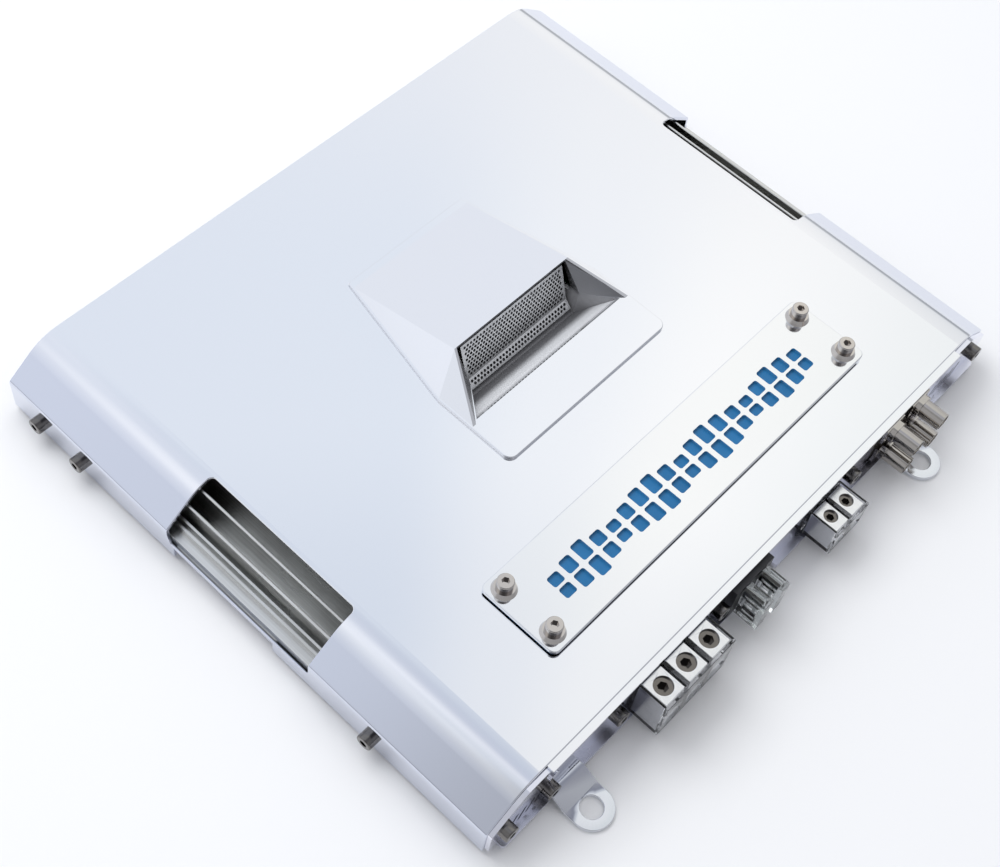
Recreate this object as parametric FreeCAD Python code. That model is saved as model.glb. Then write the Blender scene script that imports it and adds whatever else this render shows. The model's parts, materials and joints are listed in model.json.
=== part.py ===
import FreeCAD, Part
import math
import os

# Car audio amplifier: a polished sheet cover with an air scoop over two finned heatsinks,
# a base plate with four feet, a connection panel at the front (-Y) and a control panel
# at the rear (+Y).  Millimetres, +Z up.  Everything is drawn about the middle of the cover
# and moved at export, so that the origin ends under the middle of the whole object.

V = FreeCAD.Vector
X, Y, Z = V(1, 0, 0), V(0, 1, 0), V(0, 0, 1)

# ---- driving dimensions -------------------------------------------------------------
COVER_W = 320.0            # across the skirts
COVER_D = 264.0            # front edge to rear edge
COVER_H = 32.0             # top of the flat crown
CROWN_W = 283.0            # between the two crown bends, as sharp corners
BEND_Z = 18.5              # height of the sharp bend above the skirt
CROWN_R = 24.0             # outside radius of the crown bends
EDGE_R = 2.4               # outside radius of the skirt bends
SHEET = 1.5                # cover and panel sheet
EDGE_ROUND = 0.4           # rolled-over edges of the polished pieces
FOOT_T = 2.0               # foot strap, and so the height of the base above the floor
BASE_T = 2.0
FIT = 0.3                  # clearance between separate assembled pieces
SLIP = 0.05                # radial running fit of threads, shafts and bushes

FRONT = -COVER_D / 2
REAR = COVER_D / 2
BASE_Z = FOOT_T + BASE_T   # top of the base plate
TOP_IN = COVER_H - SHEET   # underside of the crown
SLANT = math.atan2(COVER_H - BEND_Z, (COVER_W - CROWN_W) / 2)

# front end
LIP_OUT, LIP_T, LIP_DROP, LIP_HALF = 3.2, 1.5, 0.5, 130.0
PANEL_T = 2.0
PANEL_FACE = FRONT - PANEL_T
PANEL_BUTTON = (-127.0, 20.4, 2.6)  # pressed dimple above the left foot
FLANGE_OUT = 5.0           # base plate in front of the cover edge

# rear end
REAR_SET = 2.0             # rear panel face behind the cover edge
REAR_T = 1.5
REAR_FACE = REAR - REAR_SET

# cap screws, M4
CAP_R, CAP_H, CAP_SHANK_R, CAP_SOCKET, CAP_ROUND = 3.5, 4.0, 2.0, 3.0, 0.5
NUT_R, NUT_T = 4.0, 3.2
RIVET_R, RIVET_T = 3.4, 1.2
SCREW_Z = 19.0
FRONT_SCREWS = [(-152.0, 15.5), (-128.6, 12.0), (-91.0, 16.0), (-31.5, SCREW_Z), (56.0, SCREW_Z),
                (147.0, 18.0)]
REAR_SCREWS = [(-147.0, 17.0), (-91.0, SCREW_Z), (108.0, SCREW_Z), (147.0, 17.0)]
SIDE_SCREWS = [-75.0, 88.0, 113.0]
SIDE_SCREW_Z = 10.0

# side windows in the cover
WINDOW_Y0, WINDOW_Y1, WINDOW_IN, WINDOW_Z, WINDOW_R = -41.5, 37.0, 136.0, 11.5, 2.2
RELIEF_Y0, RELIEF_Y1, RELIEF_Z = -22.0, 34.0, 8.6  # cut-out in the skirt below a window

# heatsinks, measured outwards from the middle
SINK_IN, SINK_WALL, SINK_FLOOR = 124.0, 3.5, 8.5
SINK_OUT = COVER_W / 2 - SHEET - FIT
SINK_FINS = [(134.0, 1.8, 1.4), (141.0, 1.8, 3.1), (148.0, 1.8, 1.2)]  # x, thickness, gap to the cover
SINK_LOW_FINS = [(151.6, 18.6), (153.8, 17.0)]
SINK_LEDGE_W, SINK_LEDGE_Z = 8.0, 14.0

# scoop
SCOOP_BACK_Y, SCOOP_BACK_X = 67.5, 34.0
SCOOP_KINK_Y, SCOOP_X = 1.0, 48.5
SCOOP_FRONT_Y, SCOOP_TIP_Y = -38.5, -19.0
SCOOP_LIP_Y, SCOOP_RISE = 7.4, 14.5
SCOOP_Z = COVER_H + SHEET
WING_T, ROOF_T = 1.2, 1.4
JAMB = (33.4, -2.4)                 # where a wing meets the throat
RAMP_FLANK = (44.0, -16.0)          # top corner of the ramp
RAMP_FOOT = (31.0, -3.0, 22.5)      # its low corner
MESH_LINE = [(7.2, 45.9), (1.6, 28.2), (-1.6, 24.6)]
MESH_T, MESH_HALF = 0.8, 30.6

# fan under the scoop
FAN_Y, FAN_SIZE, FAN_Z0, FAN_T = 38.0, 60.0, 14.0, 15.0
FAN_BORE_R, FAN_HUB_R, FAN_HOLE = 28.5, 12.5, 50.0
FAN_BLADES = 7

# nameplate
PLATE_X, PLATE_Y0, PLATE_Y1, PLATE_T, BACKING_T = 98.0, -106.5, -68.2, 1.5, 1.2
PLATE_SCREW_X, PLATE_SCREW_Y = 91.5, (-99.5, -75.0)
SPACER_R0, SPACER_R1, SPACER_H = 5.2, 4.3, 2.4
MARK_HALF = [5.6, 7.2, 8.6, 6.4, 5.0, 6.8, 8.2, 8.8, 7.0, 5.4, 7.4, 8.8, 7.8, 6.0, 5.0, 6.6, 8.4, 7.2, 5.6]
MARK_BAR, MARK_PITCH, MARK_WEB, MARK_R, MARK_Y = 5.8, 8.3, 1.2, 1.1, -89.0

# terminals
PWR_X, PWR_PITCH, PWR_N, PWR_Z0, PWR_Z1, PWR_BLOCK = -62.1, 13.5, 3, 5.0, 29.0, 11.3
SPK_X, SPK_PITCH, SPK_N, SPK_Z0, SPK_Z1, SPK_BLOCK = 37.8, 10.6, 2, 6.0, 22.0, 8.6
TERM_FRONT = FRONT - 17.0
TERM_WALL, TERM_BACK_WALL = 1.4, 1.0
TERM_RECESS = 1.9                   # screw top below the housing
PWR_WIRE_R, PWR_TRAVEL, PWR_SCREW = 4.2, 4.5, (4.0, 3.5, 3.0, 5.0, 4.0)
SPK_WIRE_R, SPK_TRAVEL, SPK_SCREW = 2.7, 3.0, (3.0, 2.2, 1.9, 2.5, 3.0)
# terminal screws: head radius and height, nose radius and length, key across flats

# fuses
FUSE_X = (-19.6, -9.2)
FUSE_BODY = (5.1, 11.0, 19.1)       # thickness, reach, height
FUSE_Z = 17.0
BLADE, BLADE_Z = (0.8, 7.0, 5.2), 5.8

# phono sockets
RCA_X, RCA_Z = (82.5, 101.0), (11.0, 25.0)
RCA_SHELL_R, RCA_END = 4.15, FRONT - 16.4
RCA_FLAT = 4.6                      # half height of a shell's seat and collar

# feet
FOOT_X = (-119.5, 95.5)
FOOT_Y, FOOT_R, FOOT_HOLE = FRONT - 17.5, 8.9, 4.6
REAR_FOOT_Y, REAR_FOOT_R, REAR_FOOT_HOLE = REAR + 5.0, 5.8, 2.75
FOOT_TONGUE = 4.0                   # half width of the tongue that goes inside
FOOT_RIVET_IN, REAR_RIVET_IN, FOOT_TAIL = 18.0, 10.0, 4.5
FOOT_RUN, REAR_FOOT_RUN = 6.4, 3.0  # level length of the slope down to the floor

# controls on the rear panel
KNOB_X, KNOB_Z, KNOB_R, KNOB_H, KNOB_BORE = (-62.0, -34.0, -6.0), 19.0, 5.0, 7.0, 3.0
SWITCH_X, SWITCH_THROW = (32.0, 58.0), 3.0
SLIDER_HALF, SLIDER_Z, STEM_HALF, STEM_Z = 3.6, 2.1, 1.6, 1.35
LED_X = (78.0, 86.0)
PORT_X, PORT_Z = -112.0, 19.0

# inside
BOARD_Z, BOARD_T, BOARD_X, BOARD_Y0, BOARD_Y1 = 9.0, 1.6, 123.4, -126.0, 122.0
BOARD_TOP = BOARD_Z + BOARD_T

FRONT_REACH = -(FOOT_Y - FOOT_R) + FRONT
REAR_REACH = REAR_FOOT_Y + REAR_FOOT_R - REAR
CENTRE_Y = (FRONT_REACH - REAR_REACH) / 2


# ---- helpers ------------------------------------------------------------------------
def box(x0, x1, y0, y1, z0, z1):
    return Part.makeBox(x1 - x0, y1 - y0, z1 - z0, V(x0, y0, z0))


def rod(radius, start, length, axis=Z):
    return Part.makeCylinder(radius, length, V(*start), axis)


def tube(outer, inner, start, length, axis=Z):
    return rod(outer, start, length, axis).cut(rod(inner, start, length, axis))


def join(shapes):
    shapes = list(shapes)
    return shapes[0].multiFuse(shapes[1:]).removeSplitter() if len(shapes) > 1 else shapes[0]


def group(shapes):
    return Part.makeCompound(list(shapes))


def cut(shape, tools):
    return shape.cut(list(tools))


def rounded_wire(points, radii):
    """Closed wire through the points, each corner rounded by its own radius."""
    edges, ends = [], []
    count = len(points)
    for i, point in enumerate(points):
        before = (points[i - 1] - point).normalize()
        after = (points[(i + 1) % count] - point).normalize()
        if radii[i] <= 0:
            ends.append((point, None, point))
            continue
        half = before.getAngle(after) / 2
        reach = radii[i] / math.tan(half)
        middle = (before + after).normalize() * (radii[i] / math.sin(half) - radii[i])
        ends.append((point + before * reach, point + middle, point + after * reach))
    for i, (start, middle, end) in enumerate(ends):
        if middle is not None:
            edges.append(Part.Arc(start, middle, end).toShape())
        following = ends[(i + 1) % count][0]
        if end.distanceToPoint(following) > 1e-6:
            edges.append(Part.LineSegment(end, following).toShape())
    return Part.Wire(edges)


def prism(points, radii, sweep):
    if not isinstance(radii, (list, tuple)):
        radii = [radii] * len(points)
    return Part.Face(rounded_wire(points, radii)).extrude(sweep)


def flat_prism(outline, radii, z0, z1):
    return prism([V(x, y, z0) for x, y in outline], radii, V(0, 0, z1 - z0))


def profile_prism(outline, radii, y0, y1):
    return prism([V(x, y0, z) for x, z in outline], radii, V(0, y1 - y0, 0))


def soften(shape, radius, pick):
    """Round every edge whose middle point `pick` accepts."""
    return shape.makeFillet(radius, [e for e in shape.Edges if pick(e, e.valueAt(sum(e.ParameterRange) / 2))])


def hull(points):
    """Convex solid round the points: a face for each supporting plane."""
    pts = [V(*p) for p in points]
    planes = []
    count = len(pts)
    for i in range(count):
        for j in range(i + 1, count):
            for k in range(j + 1, count):
                normal = (pts[j] - pts[i]).cross(pts[k] - pts[i])
                if normal.Length < 1e-6:
                    continue
                normal.normalize()
                offsets = [(p - pts[i]).dot(normal) for p in pts]
                if max(offsets) > 1e-6 and min(offsets) < -1e-6:
                    continue
                if max(offsets) > 1e-6:
                    normal = normal * -1
                on = tuple(n for n, offset in enumerate(offsets) if abs(offset) <= 1e-6)
                if on not in [plane[0] for plane in planes]:
                    planes.append((on, normal))
    faces = []
    for on, normal in planes:
        middle = V(0, 0, 0)
        for n in on:
            middle = middle + pts[n] * (1.0 / len(on))
        start = (pts[on[0]] - middle).normalize()
        side = normal.cross(start)
        turn = {n: math.atan2((pts[n] - middle).dot(side), (pts[n] - middle).dot(start)) for n in on}
        ring = sorted(on, key=turn.get)
        faces.append(Part.Face(Part.makePolygon([pts[n] for n in ring + ring[:1]])))
    shell = Part.Shell(faces)
    shell.sewShape()
    return Part.Solid(shell)


def paired_hull(corners):
    """Convex solid round the corners and their mirror images about x = 0."""
    return hull([(s * x, y, z) for s in (1, -1) for x, y, z in corners])


def both_sides(outline):
    """Mirror a half outline of (x, y) points about x = 0 into a closed one."""
    return outline + [(-x, y) for x, y in reversed(outline)]


def mirror_x(shape):
    return shape.mirror(V(0, 0, 0), X)


def hexagon(centre, radius):
    """Corners of a level hexagon."""
    return [centre + V(math.cos(math.radians(60 * k)), math.sin(math.radians(60 * k)), 0) * radius
            for k in range(6)]


def cap_screw(at, axis, shank):
    """Socket cap screw: `at` is the seat under the head, `axis` points out of the head."""
    seat = V(*at)
    head = Part.makeCylinder(CAP_R, CAP_H, seat, axis)
    head = soften(head, CAP_ROUND, lambda edge, middle: (edge.CenterOfMass - seat).dot(axis) > CAP_H - 0.1)
    body = Part.makeCylinder(CAP_SHANK_R, shank, seat - axis * shank, axis)
    socket_depth = CAP_H / 2
    side = Z if abs(axis.z) < 0.5 else X
    corners = []
    for k in range(6):
        turn = FreeCAD.Rotation(axis, 60 * k)
        out = turn.multVec(side) * (CAP_SOCKET / math.sqrt(3))
        corners.append(seat + axis * (CAP_H - socket_depth) + out)
    socket = prism(corners, 0, axis * socket_depth)
    return head.fuse(body).cut(socket)


def set_screw(size, at_top):
    """Socket set screw hanging below the point `at_top`: threaded head, narrower nose."""
    radius, height, nose_radius, nose, key = size
    x, y, z = at_top
    body = rod(radius, (x, y, z - height), height).fuse(rod(nose_radius, (x, y, z - height - nose), nose))
    return body.cut(prism(hexagon(V(x, y, z), key / math.sqrt(3)), 0, Z * -height))


# ---- cover --------------------------------------------------------------------------
def cover_outline(inset, bottom):
    """Half section of the cover, `inset` inwards from its outer skin."""
    low = COVER_W / 2 - inset, BEND_Z - inset * math.cos(SLANT) / (1 + math.sin(SLANT))
    high = CROWN_W / 2 - inset * math.sin(SLANT) / (1 + math.cos(SLANT)), COVER_H - inset
    return both_sides([(low[0], bottom), low, high])


def cover_prism(inset, bottom, y0, y1):
    edge, crown = max(EDGE_R - inset, 0.6), CROWN_R - inset
    return profile_prism(cover_outline(inset, bottom), [0, edge, crown, crown, edge, 0], y0, y1)


def window_tool():
    """Rounded opening through the +X slant and the top of its skirt, cut square to the slant."""
    normal = V(math.sin(SLANT), 0, math.cos(SLANT))
    along = V(math.cos(SLANT), 0, -math.sin(SLANT))
    corner = V(COVER_W / 2, 0, BEND_Z)
    top = (V(WINDOW_IN, 0, COVER_H) - corner).dot(along)
    low = (V(COVER_W / 2, 0, WINDOW_Z) - corner).dot(along)
    base = corner - normal * 14.0
    points = [base + along * s + Y * y for s, y in
              ((top, WINDOW_Y0), (low, WINDOW_Y0), (low, WINDOW_Y1), (top, WINDOW_Y1))]
    return prism(points, WINDOW_R, normal * 30.0)


def scoop_opening(z0, z1):
    return flat_prism(both_sides([(46.3, -18.4), (46.3, 1.5), (33.0, 63.0)]), 1.5, z0, z1)


def top_cover():
    inside = cover_prism(SHEET, FOOT_T - 1, FRONT - 1, REAR + 1)
    skin = cover_prism(0, FOOT_T + 0.4, FRONT, REAR).cut(inside)
    lip_top = COVER_H - LIP_DROP
    lip = box(-LIP_HALF, LIP_HALF, FRONT - LIP_OUT, FRONT + 4, lip_top - LIP_T, lip_top)
    lip = lip.common(cover_prism(0.3, 0, FRONT - 9, REAR))
    holes = [window_tool(), mirror_x(window_tool()), scoop_opening(TOP_IN - 2, COVER_H + 1)]
    holes.append(box(-COVER_W, COVER_W, RELIEF_Y0, RELIEF_Y1, 0, RELIEF_Z))
    for y in SIDE_SCREWS:
        holes.append(rod(CAP_SHANK_R + SLIP, (-COVER_W / 2 - 1, y, SIDE_SCREW_Z), COVER_W + 2, X))
    for x in (-PLATE_SCREW_X, PLATE_SCREW_X):
        for y in PLATE_SCREW_Y:
            holes.append(rod(CAP_SHANK_R + SLIP, (x, y, TOP_IN - 1), SHEET + 2))
    return soften(cut(skin.fuse(lip), holes), EDGE_ROUND, on_cover_rim)


def on_cover_rim(edge, middle):
    """Outer corners of the cover's two end edges and of its windows."""
    bounds = edge.BoundBox
    at_end = bounds.YLength < 0.001 and min(abs(middle.y - FRONT), abs(middle.y - REAR)) < 0.001
    at_window = abs(middle.x) > WINDOW_IN - 2 and WINDOW_Y0 - 1 < middle.y < WINDOW_Y1 + 1 and middle.z > 5
    core = cover_prism(0.2, 0, FRONT - 5, REAR + 5)
    return (at_end or at_window) and not core.isInside(middle, 0.01, True)


# ---- scoop --------------------------------------------------------------------------
def hood_solid(bottom):
    """Solid under the hood's outer skin, down to the level `bottom`."""
    return paired_hull([(SCOOP_BACK_X, SCOOP_BACK_Y, bottom), (SCOOP_X, SCOOP_KINK_Y, bottom),
                        (SCOOP_X, SCOOP_TIP_Y, bottom), (SCOOP_BACK_X, SCOOP_LIP_Y, SCOOP_Z + SCOOP_RISE)])


def ramp_pocket(flank, jamb, foot, rear_y, top_z):
    """Wedge over the ramp, and the straight throat behind it."""
    wedge = paired_hull([(*flank, top_z), (*jamb, top_z), foot])
    throat = paired_hull([(*jamb, top_z), (jamb[0], rear_y, top_z), foot, (foot[0], rear_y, foot[2])])
    return wedge.fuse(throat)


def scoop_mouth():
    """Air space in front of the mesh: between the wings, and down over the ramp."""
    top_z, roof_z, rear_y = SCOOP_Z + SCOOP_RISE, SCOOP_Z + SCOOP_RISE - ROOF_T, 12.0
    inner_x = SCOOP_BACK_X - WING_T
    tip, jamb = (SCOOP_X - WING_T, SCOOP_TIP_Y, SCOOP_Z), (*JAMB, SCOOP_Z)
    front = paired_hull([tip, jamb, (inner_x, SCOOP_LIP_Y, roof_z), (inner_x, SCOOP_LIP_Y, top_z + 1)])
    throat = paired_hull([jamb, (JAMB[0], rear_y, SCOOP_Z), (inner_x, SCOOP_LIP_Y, roof_z),
                          (inner_x, rear_y, roof_z)])
    pocket = ramp_pocket(RAMP_FLANK, JAMB, RAMP_FOOT, rear_y, SCOOP_Z)
    return join([front, throat, pocket])


def ramp_box():
    """Outside of the pocket that hangs below the cover sheet."""
    x, y, z = RAMP_FOOT
    return ramp_pocket((RAMP_FLANK[0] + 1.6, RAMP_FLANK[1] - 1.4), (JAMB[0] + 1.6, JAMB[1] - 2.0),
                       (x + 1.6, y - 1.9, z - 1.4), 6.0, SCOOP_Z - 0.6)


def scoop_housing():
    outline = both_sides([(SCOOP_X, SCOOP_FRONT_Y), (SCOOP_X, SCOOP_KINK_Y), (SCOOP_BACK_X, SCOOP_BACK_Y)])
    plate = flat_prism(outline, [4.0, 1.0, 2.0, 2.0, 1.0, 4.0], COVER_H + 0.02, SCOOP_Z)
    under = paired_hull([(44.0, 3.0, COVER_H - 1.0), (31.5, 60.0, COVER_H - 1.0), (31.5, 60.0, SCOOP_Z),
                         (44.0, 3.0, SCOOP_Z), (32.2, 8.6, SCOOP_Z + SCOOP_RISE - 1.9)])
    shell = join([plate, hood_solid(COVER_H + 0.6), ramp_box()])
    return soften(cut(shell, [under, scoop_mouth()]), EDGE_ROUND, on_apron_rim)


def on_apron_rim(edge, middle):
    """Upper edges of the flat apron in front of the scoop's wings."""
    level = edge.BoundBox.ZLength < 0.01 and middle.z > SCOOP_Z - 0.01
    return level and middle.y < SCOOP_TIP_Y - 0.5


def scoop_mesh():
    """Bent sheet behind the mouth, perforated on the real part."""
    line = [V(0, y, z) for y, z in MESH_LINE]
    behind = [V(0, p.y + MESH_T, p.z + (MESH_T if n == 2 else 0)) for n, p in enumerate(line)]
    return prism([p - X * MESH_HALF for p in line + behind[::-1]], 0, X * 2 * MESH_HALF)


# ---- nameplate ----------------------------------------------------------------------
def slot_tool(x, y0, y1, width, z0, z1, corner=None):
    corner = corner or min(width, y1 - y0) * 0.48
    return flat_prism([(x - width / 2, y0), (x + width / 2, y0), (x + width / 2, y1), (x - width / 2, y1)],
                      corner, z0, z1)


def nameplate():
    z0 = COVER_H + BACKING_T
    outline = [(-PLATE_X, PLATE_Y0), (PLATE_X, PLATE_Y0), (PLATE_X, PLATE_Y1), (-PLATE_X, PLATE_Y1)]
    plate = flat_prism(outline, 3.0, z0, z0 + PLATE_T)
    plate = soften(plate, EDGE_ROUND, lambda edge, middle: edge.BoundBox.ZMin > z0 + PLATE_T - 0.01)
    tools = []
    for n, half in enumerate(MARK_HALF):
        x = (n - (len(MARK_HALF) - 1) / 2) * MARK_PITCH
        for y0, y1 in ((MARK_WEB / 2, half), (-half, -MARK_WEB / 2)):
            tools.append(slot_tool(x, MARK_Y + y0, MARK_Y + y1, MARK_BAR, z0 - 1, z0 + PLATE_T + 1, MARK_R))
    tools += [rod(CAP_SHANK_R + SLIP, (x, y, z0 - 1), PLATE_T + 2) for x, y in plate_screws()]
    return cut(plate, tools)


def plate_screws():
    return [(x, y) for x in (-PLATE_SCREW_X, PLATE_SCREW_X) for y in PLATE_SCREW_Y]


def nameplate_backing():
    inset = 2.2
    outline = [(-PLATE_X + inset, PLATE_Y0 + inset), (PLATE_X - inset, PLATE_Y0 + inset),
               (PLATE_X - inset, PLATE_Y1 - inset), (-PLATE_X + inset, PLATE_Y1 - inset)]
    sheet = flat_prism(outline, 2.0, COVER_H, COVER_H + BACKING_T)
    holes = [rod(CAP_SHANK_R + SLIP, (x, y, COVER_H - 1), BACKING_T + 2) for x, y in plate_screws()]
    return cut(sheet, holes)


def nameplate_spacers():
    z0 = COVER_H + BACKING_T + PLATE_T
    cones = [Part.makeCone(SPACER_R0, SPACER_R1, SPACER_H, V(x, y, z0)) for x, y in plate_screws()]
    return group([c.cut(rod(CAP_SHANK_R + SLIP, (x, y, z0 - 1), SPACER_H + 2))
                  for c, (x, y) in zip(cones, plate_screws())])


def nameplate_screws():
    z0 = COVER_H + BACKING_T + PLATE_T + SPACER_H
    return group([cap_screw((x, y, z0), Z, 11.0) for x, y in plate_screws()])


def nameplate_nuts():
    nuts = []
    for x, y in plate_screws():
        nut = prism(hexagon(V(x, y, TOP_IN - NUT_T), NUT_R), 0, Z * NUT_T)
        nuts.append(nut.cut(rod(CAP_SHANK_R + SLIP, (x, y, TOP_IN - NUT_T - 1), NUT_T + 2)))
    return group(nuts)


# ---- heatsinks, base and panels -----------------------------------------------------
def slant_inside(x):
    """Height of the cover's inner skin over a distance x from the middle."""
    drop = SHEET / math.cos(SLANT)
    return min(BEND_Z + (COVER_W / 2 - x) * math.tan(SLANT) - drop, TOP_IN)


def heatsink_right():
    y0, y1 = FRONT + FIT, REAR_FACE - REAR_T - FIT
    pieces = [box(SINK_IN, SINK_OUT, y0, y1, BASE_Z, SINK_FLOOR),
              box(SINK_IN, SINK_IN + SINK_WALL, y0, y1, BASE_Z, TOP_IN - 1.5),
              box(SINK_OUT - SINK_LEDGE_W, SINK_OUT, y0, y1, BASE_Z, SINK_LEDGE_Z)]
    for x, width, drop in SINK_FINS:
        top = slant_inside(x) - drop
        half = width / 2
        outline = [(x - half, SINK_FLOOR - 1), (x + half, SINK_FLOOR - 1), (x + half - 0.3, top),
                   (x - half + 0.3, top)]
        pieces.append(profile_prism(outline, [0, 0, 0.5, 0.5], y0, y1))
    for x, top in SINK_LOW_FINS:
        pieces.append(box(x - 0.5, x + 0.5, y0, y1, SINK_LEDGE_Z - 1, top))
    holes = [rod(CAP_SHANK_R + SLIP, (SINK_OUT - 9, y, SIDE_SCREW_Z), 12, X) for y in SIDE_SCREWS]
    return cut(join(pieces), holes)


def end_screw_holes(screws, start, length):
    return [rod(CAP_SHANK_R + SLIP, (x, start, z), length, Y) for x, z in screws]


def heatsink_with_end_holes(side):
    shape = heatsink_right() if side > 0 else mirror_x(heatsink_right())
    bosses, tools = [], []
    ends = ((FRONT_SCREWS, FRONT + FIT, 10.0), (REAR_SCREWS, REAR_FACE - REAR_T - FIT, -10.0))
    for screws, y, reach in ends:
        for x, z in screws:
            if x * side < SINK_IN:
                continue
            y0, y1 = sorted((y, y + reach))
            x0, x1 = sorted((side * max(abs(x) - 4, SINK_IN), side * (abs(x) + 4)))
            bosses.append(box(x0, x1, y0, y1, BASE_Z + 1, z + 4))
            tools.append(rod(CAP_SHANK_R + SLIP, (x, y0 - 1, z), abs(reach) + 2, Y))
    inside = cover_prism(SHEET + FIT, 0, FRONT, REAR)
    return cut(join([shape] + [b.common(inside) for b in bosses]), tools)


def heatsink_left():
    return heatsink_with_end_holes(-1)


def base_plate():
    half = COVER_W / 2 - SHEET - FIT
    plate = box(-half, half, FRONT + 1, REAR_FACE, FOOT_T, BASE_Z)
    flange = flat_prism([(-half + 4, FRONT - FLANGE_OUT), (half - 4, FRONT - FLANGE_OUT),
                         (half - 4, FRONT + 5), (-half + 4, FRONT + 5)], [1.5, 1.5, 0, 0], FOOT_T, BASE_Z)
    notch = flat_prism([(FUSE_X[1] + 6, FRONT - 9), (FUSE_X[1] + 18, FRONT - 9),
                        (FUSE_X[1] + 18, FRONT - 1.5), (FUSE_X[1] + 10, FRONT - 1.5)], [0, 0, 1, 1],
                       FOOT_T - 1, BASE_Z + 1)
    slots = []
    for n in range(6):
        x = -62.5 + n * 25.0
        slots.append(slot_tool(x, -95.0, -65.0, 4.0, FOOT_T - 1, BASE_Z + 1))
    holes = [rod(CAP_SHANK_R + SLIP, (x, y, FOOT_T - 1), BASE_T + 2) for x, y in foot_rivet_places()]
    return cut(plate.fuse(flange), slots + holes + [notch])


def panel_blank(front, thickness, inset, bottom, top):
    blank = cover_prism(inset, bottom, front, front + thickness)
    return blank.common(box(-COVER_W, COVER_W, front - 1, front + thickness + 1, bottom, top))


def slanted_slots(x0, count, y, depth):
    """A row of leaning vent slots through a panel."""
    tools = []
    for n in range(count):
        x = x0 + n * 4.4
        low, high = BASE_Z + 2.5, BASE_Z + 11.0
        corners = [V(x, y, low), V(x + 1.6, y, low), V(x + 5.0, y, high), V(x + 3.4, y, high)]
        tools.append(prism(corners, 0.5, Y * depth))
    return tools


def front_panel():
    top = COVER_H - LIP_DROP - LIP_T - 0.15
    panel = panel_blank(PANEL_FACE, PANEL_T - 0.05, 1.0, BASE_Z, top)
    y, depth = PANEL_FACE - 1, PANEL_T + 2
    tools = [box(PWR_X - 19.5, PWR_X + 19.5, y, y + depth, PWR_Z0 + 2, PWR_Z1 - 3),
             box(SPK_X - 9.6, SPK_X + 9.6, y, y + depth, SPK_Z0 + 2, SPK_Z1 - 2),
             box(FUSE_X[0] - 5.0, FUSE_X[1] + 5.0, y, y + depth, FUSE_Z - 9.0, FUSE_Z + 9.0),
             box(RCA_X[0] - 9.0, RCA_X[1] + 9.0, y, y + depth, BASE_Z + 1, COVER_H)]
    tools += end_screw_holes(FRONT_SCREWS, y, depth) + foot_notches(y, depth)
    tools += slanted_slots(-149.0, 5, y, depth) + slanted_slots(119.0, 5, y, depth)
    x, z, radius = PANEL_BUTTON
    button = rod(radius, (x, PANEL_FACE - 0.8, z), 1.0, Y)
    return cut(panel.fuse(button), tools)


def rear_panel():
    panel = panel_blank(REAR_FACE - REAR_T, REAR_T, SHEET + FIT, BASE_Z, TOP_IN - 0.15)
    y, depth = REAR_FACE - REAR_T - 1, REAR_T + 2
    tools = end_screw_holes(REAR_SCREWS, y, depth) + foot_notches(y, depth)
    tools += [rod(KNOB_BORE + 0.4, (x, y, KNOB_Z), depth, Y) for x in KNOB_X]
    half = STEM_HALF + SWITCH_THROW / 2 + 0.4
    tools += [box(x - half, x + half, y, y + depth, KNOB_Z - 1.7, KNOB_Z + 1.7) for x in SWITCH_X]
    tools += [rod(1.6, (x, y, KNOB_Z), depth, Y) for x in LED_X]
    tools.append(box(PORT_X - 6.6, PORT_X + 6.6, y, y + depth, PORT_Z - 6.1, PORT_Z + 6.1))
    return cut(panel, tools)


def panel_brackets():
    """Angles that carry the middle of both panels on the base plate."""
    pieces = []
    for screws, face, step in ((FRONT_SCREWS, FRONT, 1), (REAR_SCREWS, REAR_FACE - REAR_T, -1)):
        for x, z in screws:
            if abs(x) > SINK_IN:
                continue
            y0, y1 = sorted((face + step * 0.05, face + step * 3.0))
            z_top = z + 5
            upright = box(x - 5, x + 5, y0, y1, BASE_Z, z_top)
            y2, y3 = sorted((face + step * 0.05, face + step * 5.5))
            toe = box(x - 5, x + 5, y2, y3, BASE_Z, BASE_Z + 2)
            pieces.append(upright.fuse(toe).cut(rod(CAP_SHANK_R + SLIP, (x, min(y0, y1) - 1, z), 6, Y)))
    return group(pieces)


def front_panel_screws():
    return group([cap_screw((x, PANEL_FACE, z), Y * -1, 9.0) for x, z in FRONT_SCREWS])


def case_screws():
    """The cap screws of the rear panel and of both skirts."""
    rear = [cap_screw((x, REAR_FACE, z), Y, 8.0) for x, z in REAR_SCREWS]
    sides = [cap_screw((side * COVER_W / 2, y, SIDE_SCREW_Z), X * side, 8.5)
             for side in (-1, 1) for y in SIDE_SCREWS]
    return group(rear + sides)


# ---- feet ---------------------------------------------------------------------------
def foot_rivet_places():
    front = [(x, FRONT + FOOT_RIVET_IN) for x in FOOT_X]
    return front + [(x, REAR_FACE - REAR_RIVET_IN) for x in FOOT_X]


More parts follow.
